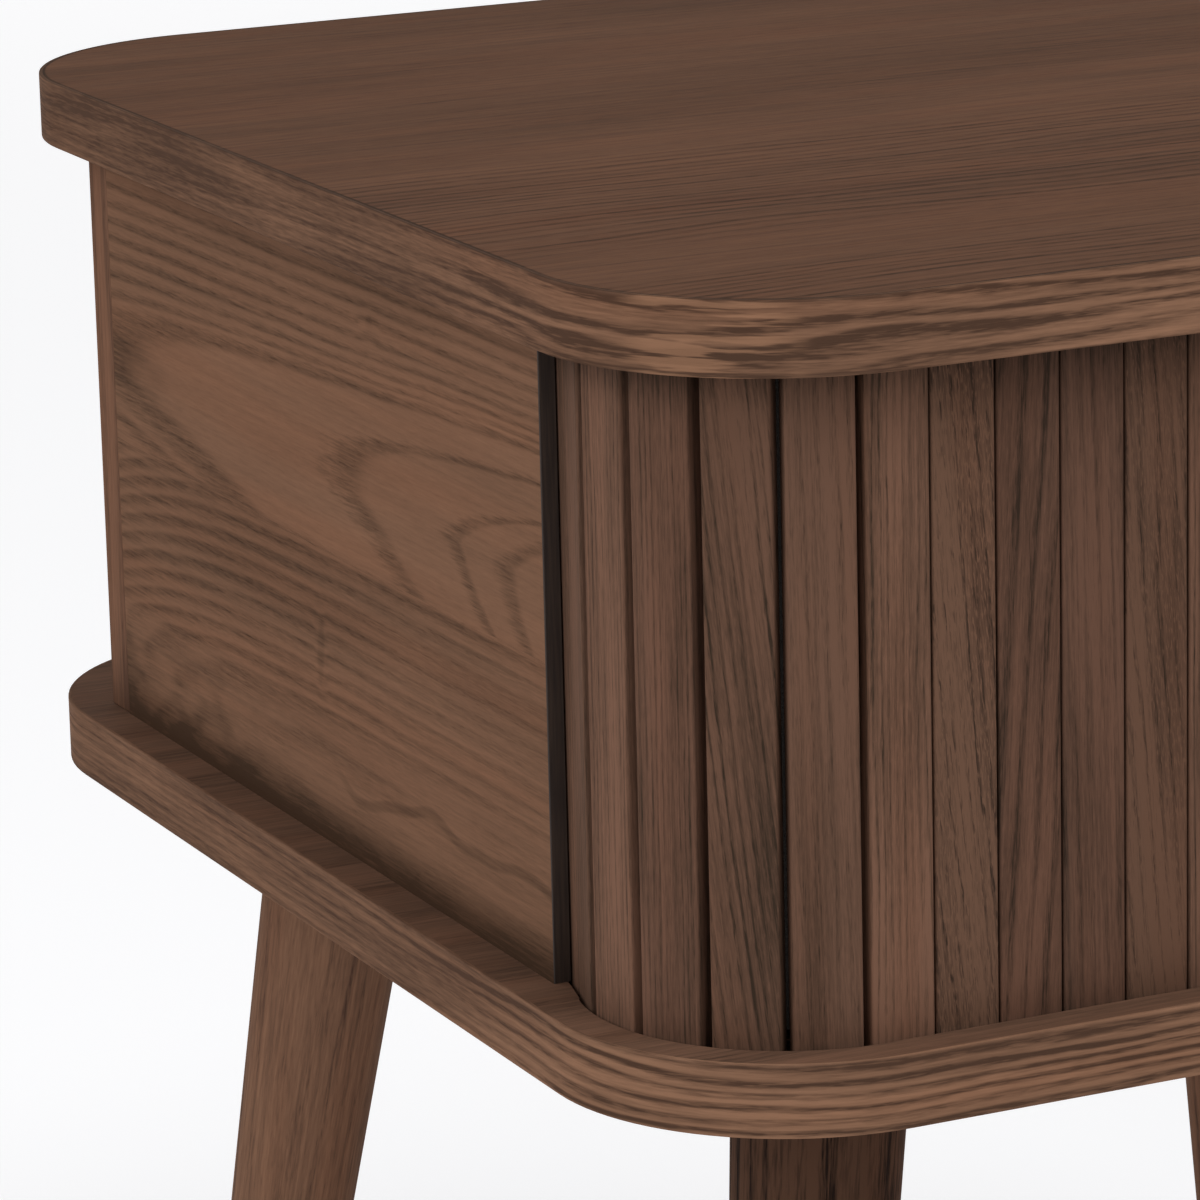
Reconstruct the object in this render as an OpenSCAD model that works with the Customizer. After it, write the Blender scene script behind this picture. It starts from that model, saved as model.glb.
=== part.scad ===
// Bedside table: two round-cornered boards with a case between them and four splayed legs.
// A pair of tambour doors meets at the middle of the front. Each door runs in a groove
// in both boards, round its front corner and into a pocket behind its side panel.

/* [Boards] */
// Width of the top and bottom boards
top_w = 440; // [410:5:520]
// Depth of the top and bottom boards
top_d = 440; // [380:5:520]
// Thickness of each board
board_t = 18; // [18:1:25]
// Clear height between the boards
open_h = 161; // [130:1:260]
// Radius of the boards' corners in plan
corner_r = 62; // [58:1:72]
// Thickness of the wooden band round each board's edge
band_t = 1; // [0.6:0.1:2]

/* [Tambour slats] */
// Distance from a board's edge in to the slats' outer face
face_inset = 11.7; // [10:0.1:14]
// Thickness of a slat
slat_t = 6; // [5:0.1:7]
// Distance from one slat to the next along the canvas
slat_pitch = 17; // [15:0.5:18.5]
// Gap between two slats on the straight
slat_gap = 0.5; // [0.5:0.05:0.8]
// Radius of a slat's eased outer edges
slat_ease = 0.8; // [0.4:0.1:1.2]
// How far before the corner the middle of the entry slat stands
entry_lead = 3.8; // [2.5:0.1:5]
// Thickness of the canvas glued to the slats' backs
canvas_t = 0.6; // [0.4:0.1:1]
// Distance that the canvas stays clear of each board
canvas_trim = 3; // [1:0.5:8]

/* [Lead stiles] */
// Thickness of a lead stile between the boards
stile_t = 14; // [10:0.5:18]
// Gap between the two lead stiles when the doors are closed
meet_gap = 0.5; // [0.3:0.1:1]
// Radius of the finger cove on a lead stile's meeting edge
cove_r = 7; // [4:0.5:9]
// Gap between a lead stile's body and each board
stile_clear = 0.5; // [0.4:0.1:1.5]

/* [Track] */
// Depth of the groove in each board
groove_depth = 7; // [5:0.5:9]
// Room in the groove in front of the slats' outer face
groove_front = 1.2; // [1.1:0.1:1.6]
// Room in the groove behind the slats' back
groove_back = 0.7; // [0.6:0.1:1]
// Extra room on each side of the groove round the corner
groove_ease = 0.3; // [0.2:0.05:0.5]
// Gap between a slat's foot and the groove's floor
foot_clear = 0.3; // [0.3:0.1:0.6]
// Gap between a slat's head and the end of the upper groove
head_clear = 1.3; // [1:0.1:2]

/* [Case walls] */
// Thickness of a side panel behind its relieved front edge
panel_t = 8.5; // [7:0.1:9]
// Distance from the boards' front edge to a side panel's front edge
panel_front = 88.5; // [88:0.5:100]
// Room between the slats' outer face and a side panel's relief
panel_clear = 0.5; // [0.4:0.1:0.6]
// Distance from the boards' rear edge to the back of the case
back_inset = 55.5; // [50:0.5:70]
// Thickness of a rear post, front to back
post_t = 13.5; // [10:0.5:18]
// Thickness of an inner wall
wall_t = 12; // [12:0.5:18]
// Gap between the canvas in its pocket and the inner wall
pocket_clear = 1.2; // [1:0.1:3]
// Distance from the corner's centre forward to an inner wall's front edge
wall_reach = 24; // [10:1:26]
// Thickness of the back panel
back_t = 9; // [6:0.5:10]

/* [Legs] */
// Height from the floor to the bottom board
leg_h = 323; // [250:1:400]
// Diameter of a leg at its top
leg_top_d = 44.5; // [38:0.5:50]
// Diameter of a leg at its foot
leg_foot_d = 23.5; // [20:0.5:30]
// Distance from the boards' side edge to the middle of a leg's top
leg_inset_x = 77; // [70:0.5:90]
// Distance from the boards' front or rear edge to the middle of a leg's top
leg_inset_y = 75.5; // [70:0.5:90]
// How far a leg's foot stands out to the side beyond its top
leg_splay_x = 41.4; // [22:0.1:50]
// How far a leg's foot stands out to the front or rear beyond its top
leg_splay_y = 39.7; // [22:0.1:50]
// Diameter of a foot glide
glide_d = 18; // [14:0.5:19]
// Thickness of a foot glide
glide_h = 2.5; // [2:0.1:4]
// Diameter of the nail on a foot glide
nail_d = 3; // [2:0.1:4]
// Length of the nail on a foot glide
nail_l = 12; // [8:0.5:16]

/* [Leg fittings] */
// Side of a square leg plate
plate_w = 64; // [62:0.5:72]
// Thickness of a leg plate
plate_t = 2.5; // [2:0.1:4]
// Radius of a leg plate's corners
plate_r = 6; // [3:0.5:8]
// Distance between a leg plate's screws along each side
plate_screw_gap = 50; // [49:0.5:54]
// Diameter of a plate screw's shank
screw_d = 4; // [3:0.1:5]
// Length of a plate screw's shank
screw_l = 14; // [10:0.5:16]
// Diameter of a plate screw's head
screw_head_d = 7.5; // [6:0.5:9]
// Height of a plate screw's head
screw_head_h = 2.2; // [1.5:0.1:3]
// Diameter of a hanger bolt
bolt_d = 8; // [6:0.5:9]
// Length of a hanger bolt inside its leg
bolt_in_leg = 32; // [20:1:40]
// Length of a hanger bolt above its leg's top
bolt_above = 9; // [6:0.5:9.5]
// Diameter of the pocket over a hanger bolt in the bottom board
bolt_pocket_d = 16; // [14:0.5:20]
// Depth of the pocket over a hanger bolt
bolt_pocket_h = 9; // [8:0.5:10]

/* [Case fittings] */
// Diameter of a wall dowel
dowel_d = 8; // [6:0.5:8]
// Length of a wall dowel
dowel_l = 28; // [20:1:32]
// Diameter of a side panel dowel
panel_dowel_d = 5; // [4:0.5:5]
// Length of a side panel dowel
panel_dowel_l = 18; // [14:1:20]
// Length of a dowel inside a board
dowel_in_board = 8; // [6:0.5:9]
// Distance from a wall's ends to its dowels
dowel_inset = 34; // [24:1:50]
// Distance from a wall's ends to its cam fittings
cam_inset = 70; // [62:1:90]
// Diameter of a cam housing
cam_d = 15; // [12:0.5:16]
// Depth of a cam housing
cam_h = 10; // [8:0.5:10]
// Distance from an inner wall's top edge down to a cam's middle
cam_drop = 24; // [20:1:32]
// Diameter of a cam bolt
cam_bolt_d = 6; // [5:0.5:7]
// Length of a cam bolt inside the top board
cam_bolt_in_board = 11; // [8:0.5:12]
// Gap round a dowel, bolt, nail or screw in its hole
hole_clear = 0.05; // [0.03:0.01:0.1]

/* [Hidden] */
$fn = 96;

// Slats of one door: those on the front, then those from the entry slat to the edge slat,
// and the steps that the bend behind the side panel takes to bring them straight again
front_slats = 7;
corner_steps = 5;
bend_steps = 4;

// Heights, from the floor up
floor_z = leg_h + board_t;
ceiling_z = floor_z + open_h;
slat_foot_z = floor_z - groove_depth + foot_clear;
slat_h = open_h + 2 * groove_depth - foot_clear - head_clear;

// Plan of the track, on the line of the slats' backs: straight, corner, bend, straight
corner = [-top_w / 2 + corner_r, -top_d / 2 + corner_r];
back_r = corner_r - face_inset - slat_t;
back_y = corner[1] - back_r;
slat_w = slat_pitch - slat_gap;
corner_turn = (corner_steps * slat_pitch - entry_lead) / back_r * 180 / PI;
slat_turn = slat_pitch / back_r * 180 / PI;
lean = corner_turn - 90;
bend_turn = lean / bend_steps;
bend_r = slat_pitch / (bend_turn * PI / 180);
bend_centre = corner - (back_r + bend_r) * [sin(corner_turn), cos(corner_turn)];
side_x = bend_centre[0] + bend_r;
crease_lap = 0.05;
ease_lap = 1;

// Plan of the case walls
case_x = -top_w / 2 + face_inset;
case_back = top_d / 2 - back_inset;
panel_y = -top_d / 2 + panel_front;
post_y = case_back - post_t;
wall_x = side_x + canvas_t + pocket_clear;
wall_y = corner[1] - wall_reach;
wall_mid = wall_x + wall_t / 2;
room_x = wall_x + wall_t;

// Edges of one door's front run: where the entry slat ends and the lead stile starts
entry_edge = corner[0] + entry_lead + slat_pitch / 2 + slat_gap / 2;
stile_edge = entry_edge + front_slats * slat_pitch;

// Legs
leg_slope = [leg_splay_x, leg_splay_y] / leg_h;
leg_tilt = atan(norm(leg_slope));
leg_axis_h = leg_h / cos(leg_tilt);
leg_over = leg_top_d / 2;
leg_taper = (leg_top_d - leg_foot_d) / 2 / leg_axis_h;
quarters = [[-1, -1], [1, -1], [-1, 1], [1, 1]];

wood = "#65483a";
wood_edge = "#7d5c45";
inside_wood = "#5a4032";
steel = "#9a9c9e";
cloth = "#2b2624";

// Plan outline of a board, brought in all round
module outline(inset = 0) {
    half = [top_w / 2 - inset, top_d / 2 - inset];
    reach = [top_w / 2 - corner_r, top_d / 2 - corner_r];
    square([2 * half[0], 2 * reach[1]], center = true);
    square([2 * reach[0], 2 * half[1]], center = true);
    for (q = quarters)
        translate([q[0] * reach[0], q[1] * reach[1]])
            circle(r = corner_r - inset);
}

// Left and right halves of what is the same on both sides
module both_sides() {
    children();
    mirror([1, 0, 0])
        children();
}

// Puts a piece at each leg's top, on the bottom board's underside
module at_legs() {
    for (q = quarters)
        translate([q[0] * (top_w / 2 - leg_inset_x), q[1] * (top_d / 2 - leg_inset_y), leg_h])
            children();
}

// Turns a piece so that +Z runs up one leg's own axis
module along_leg(q) {
    translate([q[0] * (top_w / 2 - leg_inset_x), q[1] * (top_d / 2 - leg_inset_y), leg_h])
        rotate([0, 0, atan2(-q[1] * leg_slope[1], -q[0] * leg_slope[0])])
            rotate([0, leg_tilt, 0])
                children();
}

// A channel along one door's track, from the middle of the front to the rear post.
// It reaches in behind the line of the slats' backs and out in front of it,
// and is eased on both sides round the corner, where the flat slats need more room.
module channel(inward, outward, z, h) {
    width = inward + outward;
    translate([corner[0] - ease_lap, back_y - outward, z])
        cube([ease_lap - corner[0], width, h]);
    translate([corner[0], corner[1], z])
        rotate(-90)
            rotate_extrude(angle = -corner_turn)
                translate([back_r - inward - groove_ease, 0])
                    square([width + 2 * groove_ease, h]);
    translate([bend_centre[0], bend_centre[1], z]) {
        rotate_extrude(angle = -lean - ease_lap / bend_r * 180 / PI, $fn = 360)
            translate([bend_r - outward, 0])
                square([width, h]);
        translate([bend_r - outward, 0, 0])
            cube([width, post_y - bend_centre[1], h]);
    }
}

// Puts a piece on the left door's track, so many slats past the entry slat
module on_track(step) {
    run = step * slat_pitch - entry_lead;
    if (run <= 0)
        translate([corner[0] - run, back_y])
            children();
    else if (step <= corner_steps)
        translate(corner)
            rotate(-run / back_r * 180 / PI)
                translate([0, -back_r])
                    children();
    else
        translate(bend_centre)
            rotate((step - corner_steps) * bend_turn - corner_turn)
                translate([0, bend_r])
                    children();
}

// One slat: its back is on the track and its eased face looks out
module slat(step) {
    on_track(step)
        translate([0, 0, slat_foot_z])
            linear_extrude(slat_h) {
                translate([-slat_w / 2, slat_ease - slat_t])
                    square([slat_w, slat_t - slat_ease]);
                translate([slat_ease - slat_w / 2, -slat_t])
                    square([slat_w - 2 * slat_ease, slat_t]);
                for (side = [-1, 1])
                    translate([side * (slat_w / 2 - slat_ease), slat_ease - slat_t])
                        circle(r = slat_ease, $fn = 32);
            }
}

// Flat stretch of canvas behind one slat, so far before its middle and so far after it
module cloth_behind(step, before, after) {
    on_track(step)
        translate([-after, 0, floor_z + canvas_trim])
            cube([before + after, canvas_t, open_h - 2 * canvas_trim]);
}

// Canvas behind a run of slats, creased between them and cut at the run's ends
module cloth_run(first, last, crease) {
    union()
        for (step = [first : last])
            cloth_behind(
                step,
                step == first ? slat_w / 2 : crease,
                step == last ? slat_w / 2 : crease
            );
}

// Holes for the dowels, in the boards and the walls alike
module dowel_set(grow = 0) {
    ends = [floor_z - dowel_in_board, ceiling_z + dowel_in_board];
    both_sides() {
        for (y = [wall_y + dowel_inset, post_y - dowel_inset])
            dowel_pair(wall_mid, y, dowel_d, dowel_l, ends, grow);
        dowel_pair((case_x + room_x) / 2, post_y + post_t / 2, dowel_d, dowel_l, ends, grow);
        for (y = [panel_y + 2 * dowel_inset, post_y - dowel_inset])
            dowel_pair(case_x + panel_t / 2, y, panel_dowel_d, panel_dowel_l, ends, grow);
    }
}

module dowel_pair(x, y, d, l, ends, grow) {
    translate([x, y, ends[0] - grow])
        cylinder(d = d + 2 * grow, h = l + 2 * grow);
    translate([x, y, ends[1] - l - grow])
        cylinder(d = d + 2 * grow, h = l + 2 * grow);
}

// Cam bolts stand down from the top board into the inner walls
module cam_bolt_set(grow = 0) {
    both_sides()
        for (y = [wall_y + cam_inset, post_y - cam_inset])
            translate([wall_mid, y, ceiling_z - cam_drop])
                cylinder(d = cam_bolt_d + 2 * grow, h = cam_drop + cam_bolt_in_board + grow);
}

// Cams lie in the room's side of the inner walls
module cam_set(grow = 0) {
    both_sides()
        for (y = [wall_y + cam_inset, post_y - cam_inset])
            translate([room_x, y, ceiling_z - cam_drop])
                rotate([0, -90, 0])
                    cylinder(d = cam_d + 2 * grow, h = cam_h + grow);
}

module track_grooves(z) {
    both_sides()
        channel(groove_back, slat_t + groove_front, z, groove_depth);
}

module top_board() {
    color(wood)
        difference() {
            translate([0, 0, ceiling_z])
                linear_extrude(board_t)
                    outline(band_t);
            track_grooves(ceiling_z);
            dowel_set(hole_clear);
            cam_bolt_set(hole_clear);
        }
}

module bottom_board() {
    color(wood)
        difference() {
            translate([0, 0, leg_h])
                linear_extrude(board_t)
                    outline(band_t);
            track_grooves(floor_z - groove_depth);
            dowel_set(hole_clear);
            at_legs() {
                cylinder(d = bolt_pocket_d, h = bolt_pocket_h);
                plate_corners()
                    cylinder(d = screw_d + 2 * hole_clear, h = screw_l - plate_t + hole_clear);
            }
        }
}

module edge_band(z) {
    color(wood_edge)
        translate([0, 0, z])
            linear_extrude(board_t)
                difference() {
                    outline();
                    outline(band_t);
                }
}

// Side panel: its front edge is relieved inside to follow the slats into the pocket
module side_panel() {
    color(wood)
        difference() {
            translate([case_x, panel_y, floor_z])
                cube([panel_t, post_y - panel_y, open_h]);
            channel(groove_back, slat_t + panel_clear, floor_z, open_h);
            dowel_set(hole_clear);
        }
}

module inner_wall() {
    color(inside_wood)
        difference() {
            translate([wall_x, wall_y, floor_z])
                cube([wall_t, post_y - wall_y, open_h]);
            dowel_set(hole_clear);
            cam_bolt_set(hole_clear);
            cam_set(hole_clear);
        }
}

// Rear post: closes the door's pocket and joins the side panel to the inner wall
module rear_post() {
    color(wood_edge)
        difference() {
            translate([case_x, post_y, floor_z])
                cube([room_x - case_x, post_t, open_h]);
            dowel_set(hole_clear);
        }
}

module back_panel() {
    color(inside_wood)
        translate([room_x, case_back - back_t, floor_z])
            cube([-2 * room_x, back_t, open_h]);
}

// Leg: a turned taper, cut level under its plate and over its glide
module leg(q) {
    color(wood)
        difference() {
            intersection() {
                along_leg(q)
                    translate([0, 0, -leg_axis_h - leg_over])
                        cylinder(
                            r1 = leg_foot_d / 2 - leg_taper * leg_over,
                            r2 = leg_top_d / 2 + leg_taper * leg_over,
                            h = leg_axis_h + 2 * leg_over
                        );
                translate([-top_w, -top_d, glide_h])
                    cube([2 * top_w, 2 * top_d, leg_h - plate_t - glide_h]);
            }
            hanger_bolt(q, hole_clear);
            foot_nail(q, hole_clear);
        }
}

module hanger_bolt(q, grow = 0) {
    along_leg(q)
        translate([0, 0, -plate_t - bolt_in_leg - grow])
            cylinder(d = bolt_d + 2 * grow, h = bolt_in_leg + bolt_above + grow);
}

// Middle of a leg's foot, on the floor
function foot_at(q) = [
    q[0] * (top_w / 2 - leg_inset_x + leg_h * leg_slope[0]),
    q[1] * (top_d / 2 - leg_inset_y + leg_h * leg_slope[1]),
    0
];

module foot_nail(q, grow = 0) {
    translate(foot_at(q))
        cylinder(d = nail_d + 2 * grow, h = glide_h + nail_l + grow);
}

module foot_glides() {
    color("#1d1c1b")
        for (q = quarters)
            union() {
                translate(foot_at(q))
                    cylinder(d = glide_d, h = glide_h);
                foot_nail(q);
            }
}

// Four screw places of a leg plate
module plate_corners() {
    for (q = quarters)
        translate([q[0], q[1]] * plate_screw_gap / 2)
            children();
}

module leg_plates() {
    color(steel)
        difference() {
            at_legs()
                translate([0, 0, -plate_t])
                    linear_extrude(plate_t)
                        difference() {
                            union() {
                                square([plate_w, plate_w - 2 * plate_r], center = true);
                                square([plate_w - 2 * plate_r, plate_w], center = true);
                                for (q = quarters)
                                    translate([q[0], q[1]] * (plate_w / 2 - plate_r))
                                        circle(r = plate_r);
                            }
                            plate_corners()
                                circle(d = screw_d + 2 * hole_clear);
                        }
            for (q = quarters)
                hanger_bolt(q, hole_clear);
        }
}

module hanger_bolts() {
    color(steel)
        for (q = quarters)
            hanger_bolt(q);
}

module plate_screws() {
    color(steel)
        at_legs()
            plate_corners()
                union() {
                    translate([0, 0, -plate_t])
                        cylinder(d = screw_d, h = screw_l);
                    translate([0, 0, -plate_t - screw_head_h])
                        cylinder(d = screw_head_d, h = screw_head_h);
                }
}

module dowels() {
    color("#b08d5f")
        dowel_set();
}

module cam_bolts() {
    color(steel)
        cam_bolt_set();
}

module cam_housings() {
    color(steel)
        difference() {
            cam_set();
            cam_bolt_set(hole_clear);
        }
}

// Lead stile: thick between the boards, with a finger cove and slat-thick ends
module lead_stile() {
    w = -meet_gap / 2 - stile_edge;
    color(wood)
        difference() {
            translate([stile_edge, back_y - slat_t, 0]) {
                translate([0, 0, slat_foot_z])
                    cube([w, slat_t, slat_h]);
                translate([0, 0, floor_z + stile_clear])
                    cube([w, stile_t, open_h - 2 * stile_clear]);
            }
            translate([-meet_gap / 2, back_y - slat_t, floor_z + stile_clear])
                cylinder(r = cove_r, h = open_h - 2 * stile_clear);
        }
}

module wood_slat(step) {
    color(wood)
        slat(step);
}

module hidden_slats() {
    color(wood)
        for (step = [corner_steps + 1 : corner_steps + bend_steps - 1])
            slat(step);
}

module front_canvas() {
    color(cloth)
        translate([entry_edge, back_y, floor_z + canvas_trim])
            cube([front_slats * slat_pitch, canvas_t, open_h - 2 * canvas_trim]);
}

module entry_canvas() {
    color(cloth)
        cloth_run(0, 0, 0);
}

module corner_canvas() {
    color(cloth)
        cloth_run(1, corner_steps - 1, back_r * tan(slat_turn / 2) + crease_lap);
}

module tail_canvas() {
    color(cloth)
        cloth_run(
            corner_steps,
            corner_steps + bend_steps - 1,
            (bend_r + canvas_t) * tan(bend_turn / 2) + crease_lap
        );
}

// Puts a piece of the left door on either side
module on_side(side) {
    mirror([side == "right" ? 1 : 0, 0, 0])
        children();
}

top_board();
edge_band(ceiling_z);  // top_edge_band
bottom_board();
edge_band(leg_h);  // bottom_edge_band
back_panel();
leg([-1, -1]);  // front_left_leg
leg([1, -1]);  // front_right_leg
leg([-1, 1]);  // rear_left_leg
leg([1, 1]);  // rear_right_leg
leg_plates();
hanger_bolts();
plate_screws();
foot_glides();
dowels();
cam_bolts();
cam_housings();

for (side = ["left", "right"]) {
    on_side(side) side_panel();
    on_side(side) inner_wall();
    on_side(side) rear_post();
    on_side(side) lead_stile();
    for (n = [1 : front_slats])
        on_side(side) wood_slat(-n);
    on_side(side) wood_slat(0);
    for (n = [1 : corner_steps - 1])
        on_side(side) wood_slat(n);
    on_side(side) wood_slat(corner_steps);
    on_side(side) hidden_slats();
    on_side(side) front_canvas();
    on_side(side) entry_canvas();
    on_side(side) corner_canvas();
    on_side(side) tail_canvas();
}
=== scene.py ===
import math

import bmesh
import bpy
from mathutils import Matrix, Vector


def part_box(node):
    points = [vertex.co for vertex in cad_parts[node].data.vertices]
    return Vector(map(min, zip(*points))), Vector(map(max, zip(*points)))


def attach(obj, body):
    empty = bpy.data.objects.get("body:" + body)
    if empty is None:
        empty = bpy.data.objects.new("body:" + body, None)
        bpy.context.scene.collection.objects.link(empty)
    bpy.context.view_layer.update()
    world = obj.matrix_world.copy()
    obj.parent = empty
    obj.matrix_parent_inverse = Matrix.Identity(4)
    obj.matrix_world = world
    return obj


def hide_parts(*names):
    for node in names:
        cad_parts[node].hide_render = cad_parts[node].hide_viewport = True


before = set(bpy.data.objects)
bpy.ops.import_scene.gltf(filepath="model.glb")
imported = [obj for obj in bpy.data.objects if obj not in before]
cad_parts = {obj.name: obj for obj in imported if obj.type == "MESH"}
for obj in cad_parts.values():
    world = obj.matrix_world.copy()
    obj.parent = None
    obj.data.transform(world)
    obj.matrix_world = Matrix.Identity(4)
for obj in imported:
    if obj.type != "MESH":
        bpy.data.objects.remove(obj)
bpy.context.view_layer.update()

# ---- Boards -----------------------------------------------------------------------------
# The two boards are walnut veneer on a stable core, cut round-cornered from one pattern.
# A groove for the tambour doors is milled into the face that each turns to the other, and
# the veneer's grain runs from side to side.

CORNER_R = 0.062
CORNER_STEPS = 24
BEND_STEPS = 8
GROOVE_FRONT = 0.0012
GROOVE_BACK = 0.0007
GROOVE_EASE = 0.0003
GROOVE_DEPTH = 0.007
CUTTER_PAST = 0.002
CORNER_SLATS = 5
BEND_SLATS = 4
CRISP_FROM = 12
TOUCHING = 1e-6


def corners(node):
    """Lowest and highest corners of a piece of the frame."""
    low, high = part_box(node)
    return Vector(low), Vector(high)


rim_low, rim_high = corners("top_edge_band")
band_t = rim_high.x - corners("top_board")[1].x
corner_x = rim_low.x + CORNER_R
corner_y = rim_low.y + CORNER_R

# the doors' track, on the line of the slats' backs
entry_low, entry_high = corners("left_entry_slat")
slat_low, slat_high = corners("left_front_slat_1")
slat_w = entry_high.x - entry_low.x
slat_t = entry_high.y - entry_low.y
slat_pitch = slat_low.x - entry_low.x
entry_lead = (entry_low.x + entry_high.x) / 2 - corner_x
back_y = entry_high.y
back_r = corner_y - back_y
corner_turn = (CORNER_SLATS * slat_pitch - entry_lead) / back_r
lean = corner_turn - math.pi / 2
bend_turn = lean / BEND_SLATS
bend_r = slat_pitch / bend_turn
bend_x = corner_x - (back_r + bend_r) * math.sin(corner_turn)
bend_y = corner_y - (back_r + bend_r) * math.cos(corner_turn)
post_y = corners("left_rear_post")[0].y


def quarter_turn(steps):
    """Angles from nothing to a right angle."""
    return [step / steps * math.pi / 2 for step in range(steps + 1)]


def outline(inset, z):
    """A board's edge brought in all round: four straights joined by quarter circles."""
    r = CORNER_R - inset
    lead_in = 0.002
    points = []
    for quarter in range(4):
        turn = Matrix.Rotation(quarter * math.pi / 2, 3, "Z")
        half = (rim_high.x, rim_high.y) if quarter % 2 == 0 else (rim_high.y, rim_high.x)
        middle = Vector((half[0] - CORNER_R, half[1] - CORNER_R, 0))
        points.append(turn @ (middle + Vector((r, -lead_in, 0))))
        for angle in quarter_turn(CORNER_STEPS):
            points.append(turn @ (middle + r * Vector((math.cos(angle), math.sin(angle), 0))))
        points.append(turn @ (middle + Vector((-lead_in, r, 0))))
    return [point + Vector((0, 0, z)) for point in points]


def track_edge(offset, ease):
    """One edge of the left groove, so far out from the slats' backs, front to rear."""
    r = back_r + offset + ease
    points = [Vector((0, back_y - offset, 0)), Vector((corner_x, back_y - offset, 0))]
    for step in range(CORNER_STEPS + 1):
        angle = step / CORNER_STEPS * corner_turn
        points.append(Vector((corner_x - r * math.sin(angle), corner_y - r * math.cos(angle), 0)))
    r = bend_r - offset
    for step in range(BEND_STEPS + 1):
        angle = -lean * (1 - step / BEND_STEPS)
        points.append(Vector((bend_x + r * math.cos(angle), bend_y + r * math.sin(angle), 0)))
    points.append(Vector((bend_x + r, post_y, 0)))
    return points


def loft(name, rings, wrap=False, caps=True):
    """A mesh through rings of points. Its map "run" holds metres round and across them."""
    count = len(rings[0])
    levels = len(rings) + (1 if wrap else 0)
    faces = []
    places = []
    round_run = [0.0]
    for i in range(count):
        round_run.append(round_run[-1] + (rings[0][(i + 1) % count] - rings[0][i]).length)
    across_run = [0.0]
    for level in range(1, levels):
        step = rings[level % len(rings)][0] - rings[level - 1][0]
        across_run.append(across_run[-1] + step.length)
    for level in range(levels - 1):
        above = (level + 1) % len(rings)
        for i in range(count):
            j = (i + 1) % count
            faces.append((level * count + i, level * count + j, above * count + j, above * count + i))
            u0, u1 = round_run[i], round_run[i + 1]
            v0, v1 = across_run[level], across_run[level + 1]
            places += [(u0, v0), (u1, v0), (u1, v1), (u0, v1)]
    if caps:
        faces.append(tuple(reversed(range(count))))
        faces.append(tuple(range((len(rings) - 1) * count, len(rings) * count)))
        places += [(0, 0)] * (2 * count)
    mesh = bpy.data.meshes.new(name)
    mesh.from_pydata([point for ring in rings for point in ring], [], faces)
    layer = mesh.uv_layers.new(name="run")
    for corner, place in zip(layer.uv, places):
        corner.vector = place
    return place_mesh(name, mesh)


def place_mesh(name, mesh, crisp_from=CRISP_FROM):
    """Shows a mesh as a piece: curves shade smooth, and arrises stay crisp."""
    mesh.shade_smooth()
    mesh.set_sharp_from_angle(angle=math.radians(crisp_from))
    piece = bpy.data.objects.new(name, mesh)
    bpy.context.scene.collection.objects.link(piece)
    return piece


def settle(piece):
    """Works a piece's modifiers into its mesh."""
    bpy.context.view_layer.update()
    seen = piece.evaluated_get(bpy.context.evaluated_depsgraph_get())
    mesh = bpy.data.meshes.new_from_object(seen)
    piece.modifiers.clear()
    piece.data = mesh
    return piece


def cut_away(piece, cutter):
    """Cuts a closed cutter out of a piece, and merges the points that then touch."""
    cut = piece.modifiers.new("cut", "BOOLEAN")
    cut.operation = "DIFFERENCE"
    cut.solver = "EXACT"
    cut.object = cutter
    settle(piece)
    bpy.data.objects.remove(cutter)
    shape = bmesh.new()
    shape.from_mesh(piece.data)
    bmesh.ops.remove_doubles(shape, verts=shape.verts[:], dist=TOUCHING)
    shape.to_mesh(piece.data)
    shape.free()
    piece.data.set_sharp_from_angle(angle=math.radians(CRISP_FROM))
    return piece


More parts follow.
